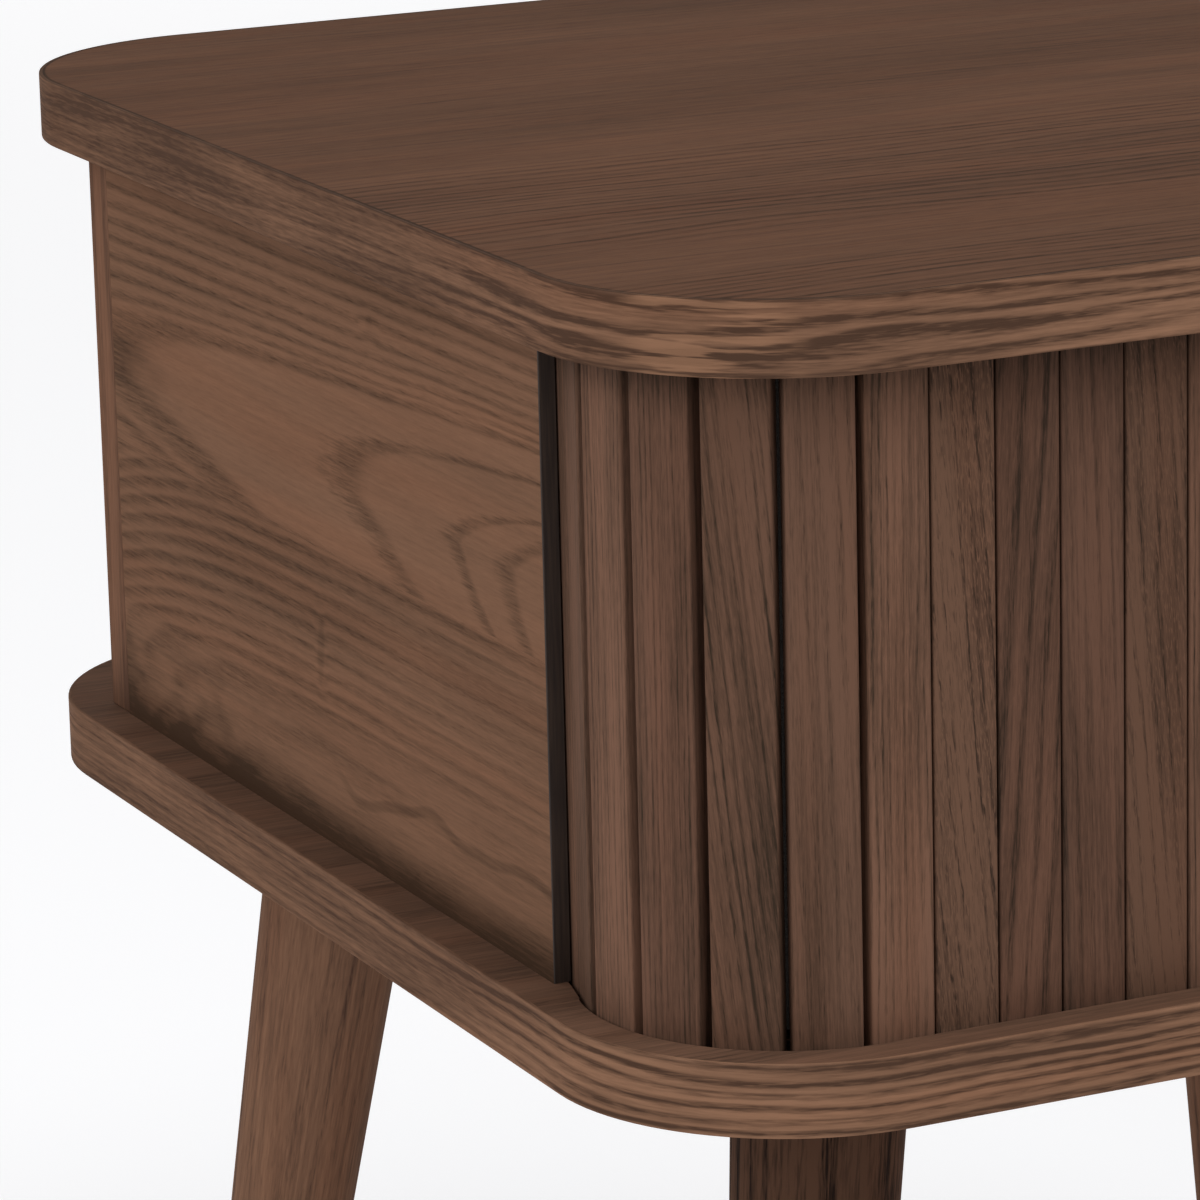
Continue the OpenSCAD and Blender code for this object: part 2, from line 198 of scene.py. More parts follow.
class Wire:
    """One socket of a finish. Sums on it add the nodes that work them out."""

    def __init__(self, tree, socket=None):
        self.tree = tree
        self.socket = socket

    def node(self, kind, settings=None, inputs=None, output=0):
        """Adds a node, sets it up, fills its inputs, and gives back one of its outputs."""
        made = self.tree.nodes.new("ShaderNode" + kind)
        for name, value in (settings or {}).items():
            setattr(made, name, value)
        for name, value in (inputs or {}).items():
            if isinstance(value, Wire):
                self.tree.links.new(value.socket, made.inputs[name])
            else:
                made.inputs[name].default_value = value
        return Wire(self.tree, made.outputs[output])

    def sum(self, operation, first, second):
        values = [x.socket.type == "VALUE" if isinstance(x, Wire) else not isinstance(x, tuple)
                  for x in (first, second)]
        if all(values):
            return self.node("Math", {"operation": operation}, {0: first, 1: second})
        first, second = (x if isinstance(x, (Wire, tuple)) else (x, x, x) for x in (first, second))
        return self.node("VectorMath", {"operation": operation}, {0: first, 1: second})

    def __add__(self, other):
        return self.sum("ADD", self, other)

    def __radd__(self, other):
        return self.sum("ADD", other, self)

    def __sub__(self, other):
        return self.sum("SUBTRACT", self, other)

    def __rsub__(self, other):
        return self.sum("SUBTRACT", other, self)

    def __mul__(self, other):
        return self.sum("MULTIPLY", self, other)

    def __rmul__(self, other):
        return self.sum("MULTIPLY", other, self)

    def __truediv__(self, other):
        return self.sum("DIVIDE", self, other)

    def __pow__(self, other):
        return self.sum("POWER", self, other)

    def maths(self, operation):
        return self.node("Math", {"operation": operation}, {0: self})

    def at_least(self, value):
        return self.sum("MAXIMUM", self, value)

    def parts(self):
        """The three numbers of a vector."""
        split = self.node("SeparateXYZ", None, {0: self}).socket.node
        return [Wire(self.tree, output) for output in split.outputs]

    def ramp(self, start, end):
        """0 at start and 1 at end, with a soft rise between them."""
        inputs = {"Value": self, "From Min": start, "From Max": end}
        return self.node("MapRange", {"interpolation_type": "SMOOTHSTEP"}, inputs)

    def share(self, start, end):
        """0 at start and 1 at end, evenly between them."""
        return self.node("MapRange", None, {"Value": self, "From Min": start, "From Max": end})

    def noise(self, stretch, detail=2.0):
        """Cloudy noise from 0 to 1 on a vector, with so many waves to a unit each way."""
        return self.node(
            "TexNoise", None, {"Vector": self * stretch, "Scale": 1.0, "Detail": detail}
        )

    def blend(self, first, second):
        """A colour that goes from first to second as this goes from 0 to 1."""
        return self.node("Mix", {"data_type": "RGBA"}, {0: self, 6: first, 7: second}, 2)


def paint(code):
    """A colour written as six hexadecimal digits."""
    parts = [int(code[i:i + 2], 16) / 255 for i in (0, 2, 4)]
    return tuple(c / 12.92 if c < 0.04045 else ((c + 0.055) / 1.055) ** 2.4 for c in parts) + (1.0,)


def new_finish(name):
    """A finish, its shader, and the piece's own coordinates in millimetres."""
    finish = bpy.data.materials.new(name)
    finish.use_nodes = True
    tree = finish.node_tree
    own = Wire(tree).node("TexCoord", output=3) * 1000.0
    return finish, tree.nodes["Principled BSDF"], own


def join(wire, x, y, z):
    return wire.node("CombineXYZ", None, {0: x, 1: y, 2: z})


def straight_rings(spacing, drift, slope=0.5, width=0.6):
    """Growth rings that run nearly straight along a board, so many millimetres apart."""

    def rings(q, along, across, through):
        wander = q.noise((0.0035, 0.018, 0.018)) - 0.5
        ripple = q.noise((0.02, 0.12, 0.12)) - 0.5
        return (across + through * slope + wander * drift + ripple * 1.8) / spacing, width

    return rings


def board_rings(spacing):
    """Rings that run nearly straight from side to side, so many millimetres apart."""

    def rings(q, along, across, through):
        wander = q.noise((0.0042, 0.011, 0.011)) - 0.5
        ripple = q.noise((0.012, 0.1, 0.1)) - 0.5
        return (across + wander * 34.0 + ripple * 1.4) / spacing, 0.8

    return rings


def walnut(name, grain, rings, light, dark, seed, bands=0.6, fibres=0.5, clouds=0.5, pores=0.4,
           flecks=0.0, evenness=0.3, fineness=1.0, lively=None, marks_and_shade=None, shade=None):
    """Walnut under a thin matt lacquer: growth rings, fibres, open pores and cloudy tones.

    grain turns the piece's own coordinates into those along, across and through the wood.
    rings turns these into a count of growth rings, and the share of a ring that is dark.
    light and dark are the wood's two colours, and seed picks the stretch of wood. bands,
    fibres, clouds, pores and flecks are strengths, evenness is how alike the rings are, and
    fineness how fine the wood is. lively says how strongly the rings show at a place, the
    darkening function darkens places, both for marks in the wood and for painted shade, and
    shade changes the finished colour."""
    finish, shader, own = new_finish(name)
    q = grain(own)
    along, across, through = q.parts()
    q = q + (seed * 97.0, seed * 61.0, seed * 43.0)
    # noises in waves to a millimetre along, across and through the wood
    fibre = q.noise((0.016 * fineness, 0.75 * fineness, 0.75 * fineness), 5.0)
    stroke = q.noise((0.13 * fineness, 1.7 * fineness, 1.7 * fineness), 3.0)
    cloud = q.noise((0.005 * fineness, 0.04 * fineness, 0.04 * fineness), 2.0)
    # each ring darkens slowly and ends at a sharp edge, some rings stronger than others
    count, width = rings(q, along, across, through)
    count = count + (stroke - 0.5) * 0.16
    place = count.maths("FRACT")
    strength = join(count, count, count * 0.45, seed * 3.1).noise((1, 1, 1), 1.0).ramp(0.32, 0.68)
    ring = place.ramp(1.0 - width, 1.0 - width * 0.4) * (1.0 - place.ramp(1.0 - width * 0.3, 1.0))
    ring = ring * (strength * (1.0 - evenness) + evenness)
    ring = ring * (fibre.ramp(0.3, 0.65) * 0.3 + stroke.ramp(0.3, 0.65) * 0.3 + 0.4)
    if lively:
        ring = ring * lively(own)
    # open pores are short dark dashes, most of them in the rings
    dashes = q.noise((0.2, 2.6, 2.6), 1.0).ramp(0.56, 0.7) * (ring * 0.7 + 0.3)
    figure = ring * bands + (fibre - 0.5) * fibres * 2.2 + (cloud - 0.5) * clouds * 2.0
    figure = figure + dashes * pores + (stroke - 0.5) * fibres * 1.6
    if flecks:
        figure = figure - q.noise((0.4, 2.4, 2.4), 2.0).ramp(0.5, 0.72) * flecks
    depth = figure + 0.22
    # marks in the wood, and painted shade where a piece passes it in
    if marks_and_shade:
        depth = depth + marks_and_shade(own)
    colour = depth.blend(paint(light), paint(dark))
    warmth = q.noise((0.004, 0.07, 0.07), 1.0).ramp(0.42, 0.72) * 0.3
    colour = warmth.blend(colour, colour * (1.1, 0.94, 0.86))
    if shade:
        colour = shade(own, colour)
    rough = 0.76 + dashes * 0.15 - (fibre - 0.5) * 0.15
    height = fibre * 0.5 + stroke * 0.3 - dashes * 0.9 - ring * 0.25
    bump = height.node("Bump", None, {"Height": height, "Distance": 0.00008, "Strength": 0.6})
    tree = colour.tree
    tree.links.new(colour.socket, shader.inputs["Base Color"])
    tree.links.new(rough.socket, shader.inputs["Roughness"])
    tree.links.new(bump.socket, shader.inputs["Normal"])
    shader.inputs["Specular IOR Level"].default_value = 0.03
    return finish


def side_to_side(own):
    return own


def edge_distance(own):
    """Millimetres in from the boards' outline, counted negative inside it."""
    r = CORNER_R * 1000
    flat = own * (1, 1, 0)
    reach = (rim_high.x * 1000 - r, rim_high.y * 1000 - r, 0.0)
    over = flat.node("VectorMath", {"operation": "ABSOLUTE"}, {0: flat}) - reach
    outer = over.sum("MAXIMUM", over, (0.0, 0.0, 0.0))
    outside = outer.node("VectorMath", {"operation": "LENGTH"}, {0: outer}, 1)
    x, y, z = over.parts()
    inside = x.sum("MINIMUM", x.sum("MAXIMUM", x, y), 0.0)
    return outside + inside - r


def top_marks(own):
    """A dusky belt, and the glue line to the band, here stronger and there weaker."""
    x, y, z = own.parts()
    edge = edge_distance(own) + band_t * 1000
    patchy = own.noise((0.012, 0.012, 0.012)).ramp(0.35, 0.65) * 0.4 + 0.5
    drift = (own.noise((0.006, 0.02, 0.0)) - 0.5) * 16.0
    belt = ((y + 121.0 + drift) / 17.0) ** 2.0
    marks = edge.ramp(-1.1, -0.4) * patchy + (1.0 - belt.ramp(0.0, 1.0)) * 0.14
    return marks + y.ramp(-30.0, 40.0) * 0.14


def board_life(own):
    """The rings stand out in one belt before the middle and in another at the front edge."""
    x, y, z = own.parts()
    belt = y.ramp(-142.0, -130.0) * (1.0 - y.ramp(-40.0, -18.0)) + 1.0 - y.ramp(-186.0, -168.0)
    return belt * 0.75 + 0.25


def groove_shade(low, high):
    """Inside the groove the walls and floor are coloured dark."""

    def shade(own, colour):
        z = own.parts()[2]
        within = z.ramp(low * 1000 + 0.1, low * 1000 + 0.4) * (
            1 - z.ramp(high * 1000 - 0.4, high * 1000 - 0.1)
        )
        return within.blend(colour, paint("2a1f19"))

    return shade


BOARDS = (
    # board, seed, whether the groove is on top, ring spacing, strength of rings, fibres and
    # clouds, light and dark colour, where the rings show, where the wood is darker
    ("bottom_board", 2.0, True, 27.0, 0.42, 0.55, 0.42, "6b4f3f", "413127", None, None),
    ("top_board", 5.0, False, 4.5, 0.58, 0.38, 0.36, "614433", "2e1f15", board_life, top_marks),
)
for node, seed, groove_up, spacing, bands, fibres, clouds, light, dark, lively, marks_and_shade in BOARDS:
    low, high = corners(node)
    board = loft(node + "_veneered", [outline(band_t, low.z), outline(band_t, high.z)])
    left = track_edge(slat_t + GROOVE_FRONT, GROOVE_EASE)
    right = track_edge(-GROOVE_BACK, -GROOVE_EASE)
    plan = left[1:] + right[:0:-1]
    plan += [Vector((-p.x, p.y, 0)) for p in right[1:]] + [Vector((-p.x, p.y, 0)) for p in left[:0:-1]]
    start = high.z - GROOVE_DEPTH if groove_up else low.z - CUTTER_PAST
    end = high.z + CUTTER_PAST if groove_up else low.z + GROOVE_DEPTH
    groove = loft("groove", [[p + Vector((0, 0, z)) for p in plan] for z in (end, start)])
    cut_away(board, groove)
    board.data.materials.append(walnut(
        node + "_veneer", side_to_side, board_rings(spacing), light, dark, seed,
        bands=bands, fibres=fibres, clouds=clouds, pores=0.15, evenness=0.4, lively=lively,
        marks_and_shade=marks_and_shade, shade=groove_shade(low.z, high.z),
    ))
    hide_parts(node)
    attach(board, "case")

# ---- Edge bands -------------------------------------------------------------------------
# A strip of solid walnut is bent and glued round each board, and its arrises are eased with
# sandpaper. Its grain follows the edge round the corners, streaked darker and lighter.

BAND_EASE = 0.00045
EASE_STEPS = 3


def band_section(low, high):
    """The band's cross-section as (inset, height) pairs, outer arrises eased."""
    pairs = []
    for middle, start in ((low + BAND_EASE, 270), (high - BAND_EASE, 0)):
        for step in range(EASE_STEPS + 1):
            angle = math.radians(start + step * 90 / EASE_STEPS)
            pairs.append((BAND_EASE * (1 - math.cos(angle)), middle + BAND_EASE * math.sin(angle)))
    return pairs + [(band_t, high), (band_t, low)]


def band_finish(name, seed, low, high, spacing, drift, bands, evenness, light, side_shade, blaze):
    """Streaky walnut along the edge, liveliest in front, with painted shade along the sides and at
    the left, and its arrises lighter, partly worn and partly a painted highlight. The upper band
    has a blaze of pale streaks where it rounds the left front corner."""

    def along_edge(own):
        run = own.node("UVMap", {"uv_map": "run"}) * 1000.0
        length, height = run.parts()[:2]
        return join(own, length, height, 0.0)

    def towards_front(own):
        x, y, z = own.parts()
        return (1.0 - y.ramp(-180.0, -80.0)) * 0.95 + 0.3

    def painted_side_shade(own):
        x, y, z = own.parts()
        # painted shade: darker along the sides and at the left, where less light falls
        return y.ramp(-190.0, -80.0) * side_shade[0] + (1.0 - x.ramp(-200.0, -60.0)) * side_shade[1]

    def arris_wear_and_highlight(own, colour):
        z = own.parts()[2]
        low_mm, high_mm = low * 1000, high * 1000
        # lighter arrises: partly wear, partly a painted highlight
        arris = z.ramp(high_mm - 1.2, high_mm - 0.2) + (1.0 - z.ramp(low_mm + 0.2, low_mm + 1.2))
        patchy = own.noise((0.05, 0.05, 0.05), 3.0).ramp(0.4, 0.7)
        colour = (arris * patchy * 0.2).blend(colour, paint("93705a"))
        if blaze:
            x, y, z = own.parts()
            far = ((x + 200.0) / 28.0) ** 2.0 + ((y + 203.0) / 22.0) ** 2.0
            streak = along_edge(own).noise((0.035, 0.5, 0.5), 3.0).ramp(0.48, 0.58)
            colour = ((1.0 - far.ramp(0.2, 1.0)) * streak * 0.55).blend(colour, paint("a0775c"))
            glue = z.ramp(high_mm - 0.25, high_mm - 0.05) * 0.6
            colour = glue.blend(colour, paint("2f231b"))
        return colour

    def rings(q, along, across, through):
        wander = q.noise((0.006, 0.045, 0.045)) - 0.5
        ripple = q.noise((0.03, 0.2, 0.2)) - 0.5
        return (across + wander * drift + ripple * drift * 0.09) / spacing, 0.85

    return walnut(name, along_edge, rings, light, "4e392d", seed, bands=bands, fibres=0.4,
                  clouds=0.7, pores=0.2, evenness=evenness, lively=towards_front,
                  marks_and_shade=painted_side_shade, shade=arris_wear_and_highlight)


EDGE_BANDS = (
    # band, seed, ring spacing, how far the rings wander, their strength and evenness, light colour,
    # how much painted shade darkens it along the sides and at the left, whether it has the blaze
    ("bottom_edge_band", 3.0, 3.1, 12.0, 0.95, 0.6, "8f6b54", (0.24, 0.14), False),
    ("top_edge_band", 11.0, 4.4, 24.0, 0.72, 0.4, "967058", (0.3, 0.26), True),
)
for node, seed, spacing, drift, bands, evenness, light, side_shade, blaze in EDGE_BANDS:
    low, high = corners(node)
    rings = [outline(inset, z) for inset, z in band_section(low.z, high.z)]
    band = loft(node + "_eased", rings, wrap=True, caps=False)
    band.data.materials.append(band_finish(
        node + "_walnut", seed, low.z, high.z, spacing, drift, bands, evenness, light, side_shade, blaze))
    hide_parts(node)
    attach(band, "case")

# ---- Side panels ------------------------------------------------------------------------
# Each side panel is faced with one flat-cut leaf of walnut, whose figure opens towards the
# front in nested tongues. Its front edge is stained dark and is relieved on the inside, where
# the slats slip past it.

PANEL_CLEAR = 0.0005
PANEL_EASE = 0.0004

# the leaf's figure in millimetres: tongues that point to the rear, with their tips at one
# height and so far from the leaf's rear edge, and below the seam lines that rise from there
LEAF_REAR = 155.0
TIP_Z = 440.0
TIPS = (32.0, 181.0, 240.0, 272.0, 300.0)
FLARE = 5.36
FIRST_BAND = 70.0
OUTER_LINE = 4.8
LOWER_CLOSING = 0.017
SEAM_Z = 420.0
LOWER_LINE = 5.2
LOWER_RISE = 17.0
SWIRL_Z = 374.0
PIN_KNOTS = (
    # from the rear edge, height, half length, half height, how far it bends the rings
    (186.0, 484.0, 9.0, 6.0, -1.2),
    (147.0, 392.0, 6.0, 18.0, 1.1),
)


def along_depth(own):
    x, y, z = own.parts()
    return join(own, y, z, x)


def flat_cut(q, along, across, through):
    """Tongues with their tips at TIPS, and lines that rise from the rear below the seam."""
    wander = q.noise((0.008, 0.022, 0.022)) - 0.5
    ripple = q.noise((0.04, 0.1, 0.1)) - 0.5
    back = LEAF_REAR - along
    height = across - TIP_Z + ripple * 1.2 + wander * 3.0
    for middle, level, length, rise, bend in PIN_KNOTS:
        far = ((back - middle) / length) ** 2.0 + ((across - level) / rise) ** 2.0
        height = height + (1.0 - far.ramp(0.0, 1.0)) * bend
    back = back + wander * 14.0
    above = height.at_least(0.0)
    below = (0.0 - height).at_least(0.0)
    flared = back - (above / FLARE) ** 3.2
    flared = flared - above * flared.share(200.0, 250.0) * 2.0
    reach = TIPS[-1] - (TIPS[-1] - flared) / (1.0 - below * LOWER_CLOSING)
    outside = (TIPS[0] - reach).at_least(0.0)
    outer = outside ** (1 / 3.2) * FLARE - FIRST_BAND ** (1 / 3.2) * FLARE
    tongues = outside.share(0.0, FIRST_BAND) * -0.7 - outer.at_least(0.0) / OUTER_LINE
    for tip, inner_tip in zip(TIPS, TIPS[1:]):
        tongues = tongues + reach.share(tip, inner_tip)
    rise = LOWER_RISE * (1.0 - (back / -60.0).maths("EXPONENT"))
    deep = (SWIRL_Z - across).at_least(0.0)
    lines = (height - rise + deep * 0.75 + deep * wander * 2.0) / LOWER_LINE
    upper = height.ramp(SEAM_Z - TIP_Z - 0.5, SEAM_Z - TIP_Z + 0.5)
    width = 0.24 + reach.ramp(242.0, 250.0) * 0.3 + outside.ramp(0.0, 2.0) * 0.76
    width = width - outside.ramp(75.0, 95.0) * 0.2
    return lines + (tongues - lines) * upper, 0.95 + (width - 0.95) * upper


def panel_marks_and_foot_shade(own):
    """Darker wood below the seam, a smoky first tip, pin knots, stains and painted shade at the foot.
    """
    x, y, z = own.parts()
    back = LEAF_REAR - y
    patch = own.noise((0.02, 0.02, 0.07), 3.0)
    # darker wood below the seam, and painted shade along the foot next to the bottom board
    under = (1.0 - z.ramp(SEAM_Z - 1.0, SEAM_Z + 0.5)) * 0.08 + (1.0 - z.ramp(341.0, 356.0)) * 0.7
    tip = ((back - 16.0) / 34.0) ** 2.0 + ((z - TIP_Z - 3.0) / 10.0) ** 2.0
    smoke = (1.0 - tip.ramp(0.0, 1.0)) * patch.ramp(0.3, 0.6) * 0.25
    stain = patch.ramp(0.4, 0.55) * (1.0 - z.ramp(360.0, 372.0)) * (1.0 - back.ramp(80.0, 110.0)) * 0.4
    wave = z - 362.0 + (own.noise((0.0, 0.022, 0.0), 1.0) - 0.5) * 26.0
    stain = stain + (1.0 - (wave * wave).ramp(0.0, 4.0)) * back.ramp(150.0, 170.0) * 0.3
    marks = under + smoke + stain
    for middle, level, length, rise, bend in PIN_KNOTS:
        lean = (z - level) * 0.12
        far = ((back - middle - lean) / 3.0) ** 2.0 + ((z - level) / (rise * 0.6)) ** 2.0
        marks = marks + (1.0 - far.ramp(0.0, 1.0)) * patch.ramp(0.2, 0.5) * 0.24
    return marks


def panel_life(own):
    """The figure is crisp to the rear, fainter in front below the seam, and soft at the foot."""
    x, y, z = own.parts()
    back = LEAF_REAR - y
    low_front = back.ramp(120.0, 260.0) * (1.0 - z.ramp(SEAM_Z - 6.0, SEAM_Z)) * 0.5
    return (z.ramp(362.0, 380.0) * 0.6 + 0.4) * (1.0 - low_front)


def panel_plan(side):
    """The left panel's outline from above: eased outer arris, relieved inner front."""
    low, high = corners(side + "_side_panel")
    if side == "right":
        low.x, high.x = -high.x, -low.x
    points = []
    for step in range(EASE_STEPS + 1):
        angle = math.radians(180 + step * 90 / EASE_STEPS)
        points.append((low.x + PANEL_EASE * (1 + math.cos(angle)),
                       low.y + PANEL_EASE * (1 + math.sin(angle))))
    r = bend_r - slat_t - PANEL_CLEAR
    first = math.asin((low.y - bend_y) / r)
    last = -math.acos((high.x - bend_x) / r)
    for step in range(BEND_STEPS + 1):
        angle = first + (last - first) * step / BEND_STEPS
        points.append((bend_x + r * math.cos(angle), bend_y + r * math.sin(angle)))
    points += [(high.x, high.y), (low.x, high.y)]
    return points, low.z, high.z


def edge_stain(name):
    """The stained front edge: near black, with faint upright fibres."""
    finish, shader, own = new_finish(name)
    fibres = own.noise((1.4, 1.4, 0.05), 3.0)
    colour = fibres.ramp(0.3, 0.7).blend(paint("211611"), paint("36281f"))
    rough = 0.6 + (fibres - 0.5) * 0.2
    colour.tree.links.new(colour.socket, shader.inputs["Base Color"])
    colour.tree.links.new(rough.socket, shader.inputs["Roughness"])
    return finish


for side, seed in (("left", 0.0), ("right", 4.0)):
    plan, floor_z, ceiling_z = panel_plan(side)
    sign = 1 if side == "left" else -1
    rings = [[Vector((sign * x, y, z)) for x, y in plan][::sign] for z in (floor_z, ceiling_z)]
    panel = loft(side + "_panel_figured", rings)
    panel.data.materials.append(walnut(
        side + "_panel_walnut", along_depth, flat_cut, "815f4a", "413024", seed,
        bands=0.46, fibres=0.24, clouds=0.3, pores=0.15, evenness=0.85, lively=panel_life,
        marks_and_shade=panel_marks_and_foot_shade,
    ))
    panel.data.materials.append(edge_stain(side + "_panel_edge"))
    for face in panel.data.polygons:
        if face.normal.y < -0.7:
            face.material_index = 1
    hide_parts(side + "_side_panel")
    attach(panel, "case")

# ---- Case back --------------------------------------------------------------------------
# Upright posts close the doors' pockets at the rear, the back panel is let in between them,
# and plain inner walls keep what is in the case away from the doors.

BOX_EASE = 0.0005


def upright(own):
    x, y, z = own.parts()
    return join(own, z, x, y)


def eased_box(name, low, high, ease):
    """A squared piece of wood with its arrises sanded."""
    size = high - low
    middle = (low + high) / 2
    shape = bmesh.new()
    bmesh.ops.create_cube(shape, size=1.0)
    bmesh.ops.scale(shape, vec=size, verts=shape.verts)
    bmesh.ops.translate(shape, vec=middle, verts=shape.verts)
    bmesh.ops.bevel(shape, geom=shape.edges[:], offset=ease, segments=3, profile=0.5, affect="EDGES")
    mesh = bpy.data.meshes.new(name)
    shape.to_mesh(mesh)
    shape.free()
    return place_mesh(name, mesh)


def painted_foot_shade(own):
    """Painted shade: the wood is darker next to the bottom board, where little light reaches."""
    z = own.parts()[2]
    foot = corners("bottom_board")[1].z * 1000
    return (1.0 - z.ramp(foot, foot + 31.0)) * 0.6


CASE_PARTS = (
    # piece, run of its grain, seed, light and dark colour, ring spacing, finish
    ("left_rear_post", upright, 7.0, "7a5946", "523c30", 5.0, "walnut_solid"),
    ("right_rear_post", upright, 8.0, "7a5946", "523c30", 5.0, "walnut_solid"),
    ("back_panel", side_to_side, 9.0, "6c4f3f", "463228", 9.0, "inner_ply"),
    ("left_inner_wall", along_depth, 10.0, "6c4f3f", "463228", 8.0, "inner_ply"),
    ("right_inner_wall", along_depth, 12.0, "6c4f3f", "463228", 8.0, "inner_ply"),
)
for node, grain, seed, light, dark, spacing, slot in CASE_PARTS:
    low, high = corners(node)
    part = eased_box(node + "_sanded", low, high, BOX_EASE)
    part.data.materials.append(walnut(
        node + "_walnut", grain, straight_rings(spacing, 14.0), light, dark, seed,
        bands=0.5, fibres=0.5, clouds=0.4, pores=0.3, marks_and_shade=painted_foot_shade,
    ))
    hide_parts(node)
    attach(part, "case")

# ---- Slats ------------------------------------------------------------------------------
# The slats are ripped from many boards, so that each has a tone and a grain of its own.
# They keep the machined shape of the frame, and their eased outer edges catch the light.

# the cuts of wood: ring spacing, how far the rings wander, how much they lean, and how strong
# the rings, pores and pale flecks are
PLAIN = dict(spacing=4.0, drift=10.0, slant=0.02, bands=0.34, pores=0.35, flecks=0.1)
STRIPED = dict(spacing=1.5, drift=5.0, slant=0.0, bands=0.45, pores=0.3, flecks=0.1)
WAVY = dict(spacing=1.9, drift=26.0, slant=-0.01, bands=0.55, pores=0.3, flecks=0.15)
SLANTED = dict(spacing=2.6, drift=16.0, slant=0.11, bands=0.75, pores=0.5, flecks=0.2)
COARSE = dict(spacing=3.2, drift=30.0, slant=0.08, bands=0.5, pores=0.9, flecks=0.75)
BROAD = dict(spacing=4.4, drift=24.0, slant=-0.05, bands=0.75, pores=0.35, flecks=0.15)
SLATS = (
    # place on the door, its step along the track, tone, cut
    ("front_slat_7", -7, 1.00, WAVY),
    ("front_slat_6", -6, 0.94, PLAIN),
    ("front_slat_5", -5, 1.00, STRIPED),
    ("front_slat_4", -4, 0.90, dict(COARSE, pores=0.5, flecks=0.5)),
    ("front_slat_3", -3, 0.91, PLAIN),
    ("front_slat_2", -2, 0.92, BROAD),
    ("front_slat_1", -1, 0.96, COARSE),
    ("entry_slat", 0, 1.06, WAVY),
    ("corner_slat_1", 1, 0.95, dict(PLAIN, drift=20.0, pores=0.45)),
    ("corner_slat_2", 2, 0.93, SLANTED),
    ("corner_slat_3", 3, 0.97, STRIPED),
    ("corner_slat_4", 4, 1.07, STRIPED),
    ("edge_slat", 5, 0.95, STRIPED),
    ("hidden_slats", 7, 0.95, PLAIN),
)


def on_track(step):
    """Where a slat's back lies, so many slats past the entry slat, and how it is turned."""
    run = step * slat_pitch - entry_lead
    if run <= 0:
        return Vector((corner_x - run, back_y, 0)), 0.0
    if step <= CORNER_SLATS:
        turn = -run / back_r
        middle = Vector((corner_x, corner_y, 0))
        return middle + back_r * Vector((math.sin(turn), -math.cos(turn), 0)), turn
    turn = (step - CORNER_SLATS) * bend_turn - corner_turn
    middle = Vector((bend_x, bend_y, 0))
    return middle + bend_r * Vector((-math.sin(turn), math.cos(turn), 0)), turn


def toned(code, factor):
    """A colour's six digits made so much lighter or darker."""
    parts = [min(255, round(int(code[i:i + 2], 16) * factor)) for i in (0, 2, 4)]
    return "%02x%02x%02x" % tuple(parts)


def painted_slat_head_shade(own):
    """Painted shade: the slats' heads are darker just below the top board, whose overhang shades them.
    """
    z = own.parts()[2]
    head = corners("top_board")[0].z * 1000
    return z.ramp(head - 13.0, head) * 0.4


def slat_grain(step, sign, slant):
    """Grain up a slat, leaning a little, with across and through square to its face."""
    middle, turn = on_track(step)
    level = (slat_low.z + slat_high.z) / 2 * 1000

    def grain(own):
        x, y, z = own.parts()
        x = x * sign - middle.x * 1000
        y = y - middle.y * 1000
        wide = x * math.cos(turn) + y * math.sin(turn)
        deep = y * math.cos(turn) - x * math.sin(turn)
        return join(own, z - level + wide * slant, wide + (z - level) * slant, deep)

    return grain


for side, sign, first_seed in (("left", 1, 20.0), ("right", -1, 50.0)):
    for index, (place, step, tone, cut) in enumerate(SLATS):
        if side == "right":
            tone, cut = SLATS[(index * 5 + 3) % len(SLATS)][2:]
        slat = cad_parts[side + "_" + place]
        finish = walnut(
            slat.name + "_walnut", slat_grain(step, sign, cut["slant"]),
            straight_rings(cut["spacing"], cut["drift"]),
            toned("725444", tone), toned("3b2e25", tone), first_seed + index * 1.7,
            bands=cut["bands"], fibres=0.48, clouds=0.95, pores=cut["pores"],
            flecks=cut["flecks"], fineness=1.5, marks_and_shade=painted_slat_head_shade,
        )
        for slot in slat.material_slots:
            slot.material = finish

# ---- Lead stiles ------------------------------------------------------------------------
# Each door ends in a thick solid stile, whose meeting edge is hollowed into a finger cove.
# Above and below it is cut back to a tongue as thin as the slats, which runs in the grooves.

STILE_EASE = 0.0006
STILE_CLEAR = 0.0005
COVE_R = 0.007
COVE_STEPS = 10


def stile_ring(low, high, depth, cove, z):
    """Plan of the left stile at one height, with a cove or a square corner."""
    front = low.y
    inner = high.x
    if cove:
        hollow = [(inner - COVE_R * math.cos(a), front + COVE_R * math.sin(a))
                  for a in quarter_turn(COVE_STEPS)]
    else:
        hollow = [(inner, front)] * (COVE_STEPS + 1)
    ease = STILE_EASE
    outer = [(low.x + ease * (1 - math.cos(a)), front + ease * (1 - math.sin(a)))
             for a in quarter_turn(EASE_STEPS)]
    back = [(inner, front + depth), (low.x, front + depth)]
    return [Vector((x, y, z)) for x, y in outer + hollow + back]


